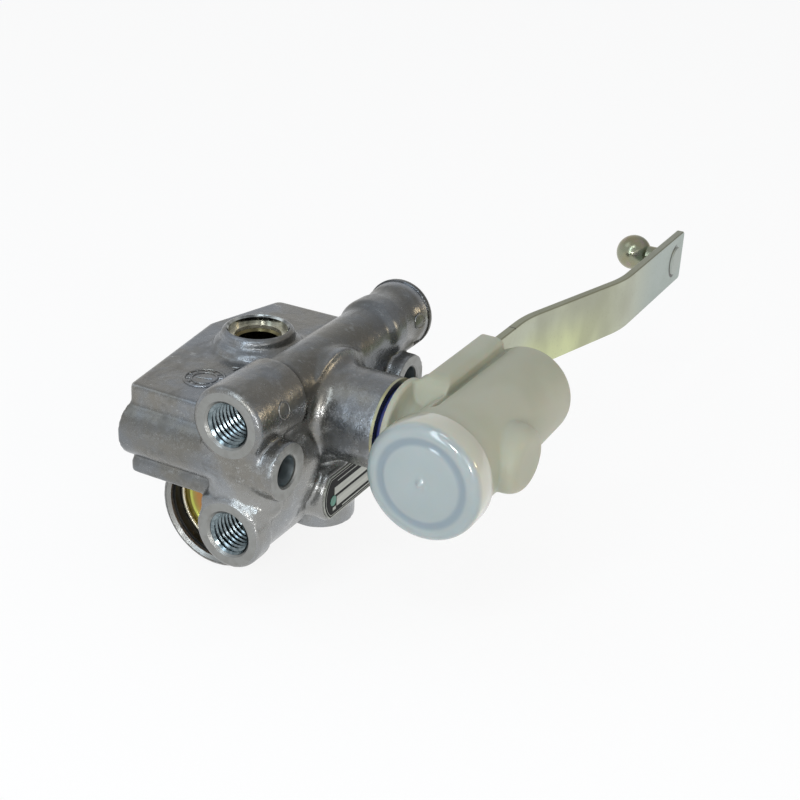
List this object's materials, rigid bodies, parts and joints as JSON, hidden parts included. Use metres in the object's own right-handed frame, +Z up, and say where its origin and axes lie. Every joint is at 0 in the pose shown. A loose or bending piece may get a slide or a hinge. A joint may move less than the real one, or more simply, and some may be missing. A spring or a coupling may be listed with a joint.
{
  "type": "levelling valve",
  "caption": "Air suspension levelling valve: cast housing with threaded and push-in air ports, a side exhaust chamber, and a moulded lever head carrying a stepped steel lever with a ball stud.",
  "frame": {"origin": "midway between the two mounting holes, in the plane of their boss faces on the lever side", "axes": "+X along the lever shaft out of the housing and along the mounting holes, +Y the way the lever points, +Z up"},
  "size_m": [0.1073, 0.2005, 0.0672],
  "materials": {
    "cast_aluminium": "die-cast, matt with a light blast texture",
    "brass": "turned",
    "spring_steel": "clear zinc",
    "ground_steel": "ground",
    "yellow_zinc": "yellow chromated zinc",
    "grey_zinc": "iridescent chromated zinc",
    "plate_sheet": "satin sheet, printed bars",
    "black_rubber": "matt",
    "blue_rubber": "matt",
    "orange_rubber": "matt",
    "grey_felt": "felted",
    "black_plastic": "matt",
    "natural_nylon": "moulded, satin",
    "cap_nylon": "moulded, glossy"
  },
  "bodies": {
    "housing": {"housing": "cast_aluminium", "supply_port_collet": "brass", "supply_port_snap_ring": "spring_steel", "supply_port_seal": "black_rubber", "check_valve_seat": "brass", "check_valve_spring": "spring_steel", "exhaust_dish": "yellow_zinc", "exhaust_retaining_ring": "spring_steel", "silencer_pad": "grey_felt", "shaft_bush": "brass", "shaft_lip_seal": "black_rubber", "shaft_washer": "yellow_zinc", "dust_seal": "blue_rubber", "valve_sleeve": "brass", "sleeve_seals": "black_rubber", "control_bore_plug": "cast_aluminium", "plug_snap_ring": "spring_steel", "data_plate": "plate_sheet"},
    "shaft": {"lever_shaft": "ground_steel", "override_pin": "ground_steel"},
    "spool": {"control_spool": "ground_steel"},
    "check_valve": {"check_valve": "black_plastic"},
    "flap": {"exhaust_flap": "orange_rubber"},
    "head": {"lever_head": "natural_nylon", "head_cap": "cap_nylon", "lever": "grey_zinc", "ball_stud": "yellow_zinc", "override_spring_front": "spring_steel", "override_spring_rear": "spring_steel"},
    "piston": {"override_piston": "ground_steel"}
  },
  "joints": [
    {"name": "shaft_turn", "type": "hinge", "parent": "housing", "child": "shaft", "pos_m": [0, 0, 0.003], "axis": [1, 0, 0], "range_deg": [-40, 40]},
    {"name": "spool_lift", "type": "slide", "parent": "housing", "child": "spool", "axis": [0, 0, 1], "range_m": [-0.0013, 0.0013]},
    {"name": "check_valve_lift", "type": "slide", "parent": "housing", "child": "check_valve", "axis": [0, 0, -1], "range_m": [0, 0.0018], "stiffness_N_per_m": 200, "deforming": ["check_valve_spring"]},
    {"name": "flap_lift", "type": "slide", "parent": "housing", "child": "flap", "axis": [0, -1, 0], "range_m": [0, 0.0008], "stiffness_N_per_m": 150},
    {"name": "lever_override", "type": "hinge", "parent": "shaft", "child": "head", "pos_m": [0, 0, 0.003], "axis": [1, 0, 0], "range_deg": [-30, 30], "stiffness_Nm_per_rad": 1.5},
    {"name": "piston_slide", "type": "slide", "parent": "head", "child": "piston", "axis": [0, 1, 0], "range_m": [-0.00266, 0.00266], "deforming": ["override_spring_front", "override_spring_rear"]}
  ],
  "couplings": [
    {"joint": "spool_lift", "follows": "shaft_turn", "m_per_rad": 0.00184},
    {"joint": "piston_slide", "follows": "lever_override", "m_per_rad": 0.00506}
  ]
}
